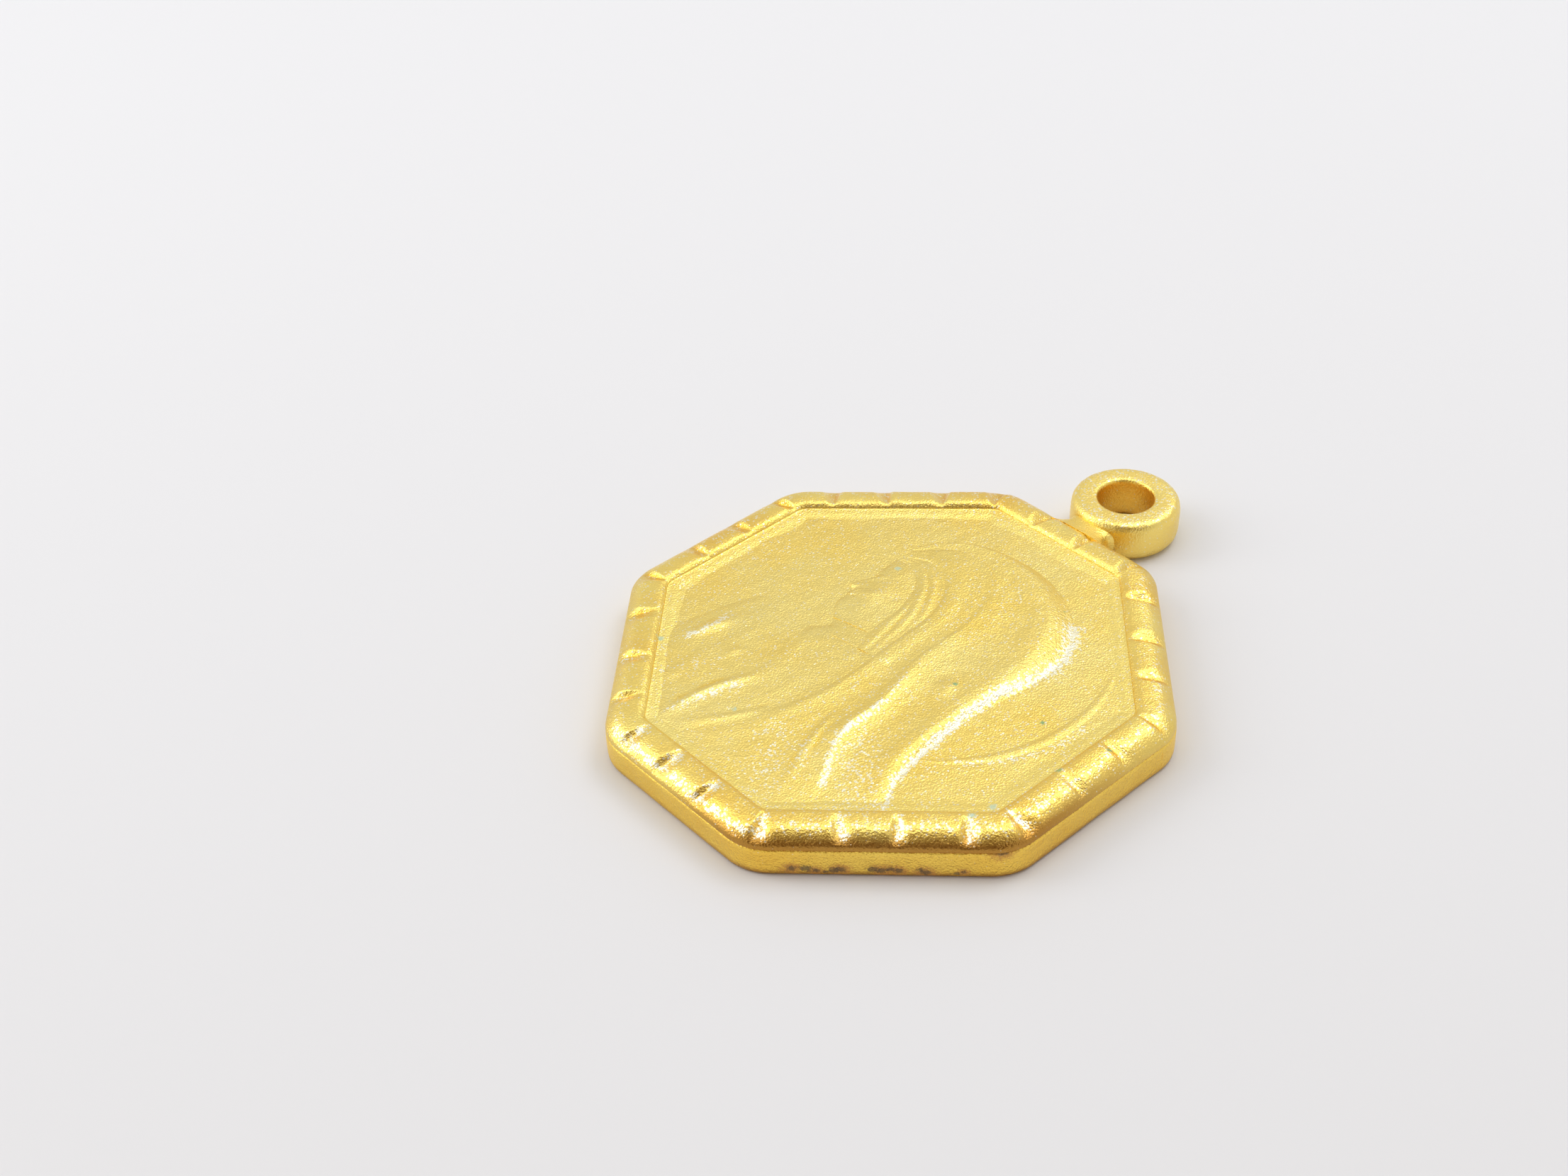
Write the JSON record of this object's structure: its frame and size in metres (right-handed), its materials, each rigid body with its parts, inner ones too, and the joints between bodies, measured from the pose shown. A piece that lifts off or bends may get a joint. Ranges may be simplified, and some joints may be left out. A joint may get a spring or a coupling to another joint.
{
  "type": "devotional charm",
  "caption": "Octagonal gold-plated medal with a padded border, a veiled woman's profile in low relief and a fixed hanging loop.",
  "frame": {"origin": "centre of the octagon's flat back", "axes": "+Y from the octagon's centre to the loop, +Z out of the relief face, +X to the right as the face is seen upright"},
  "size_m": [0.013, 0.0165, 0.0012],
  "materials": {
    "gold": "matte gold plating over a cast brass body"
  },
  "bodies": {
    "root": {"plate": "gold", "field_plate": "gold", "border_bed": "gold", "lip_line": "gold", "loop": "gold", "loop_neck": "gold", "veil_back": "gold", "veil_front": "gold", "hair": "gold", "face": "gold", "neck": "gold", "mantle_chest": "gold", "mantle_fold": "gold", "mantle_sleeve": "gold", "halo_line": "gold", "border_pad_1": "gold", "border_pad_2": "gold", "border_pad_3": "gold", "border_pad_4": "gold", "border_pad_5": "gold", "border_pad_6": "gold", "border_pad_7": "gold", "border_pad_8": "gold", "border_pad_9": "gold", "border_pad_10": "gold", "border_pad_11": "gold", "border_pad_12": "gold", "border_pad_13": "gold", "border_pad_14": "gold", "border_pad_15": "gold", "border_pad_16": "gold", "border_pad_17": "gold", "border_pad_18": "gold", "border_pad_19": "gold", "border_pad_20": "gold", "border_pad_21": "gold", "border_pad_22": "gold", "border_pad_23": "gold", "border_pad_24": "gold", "border_pad_25": "gold", "border_pad_26": "gold", "border_pad_27": "gold", "border_pad_28": "gold"}
  },
  "joints": []
}
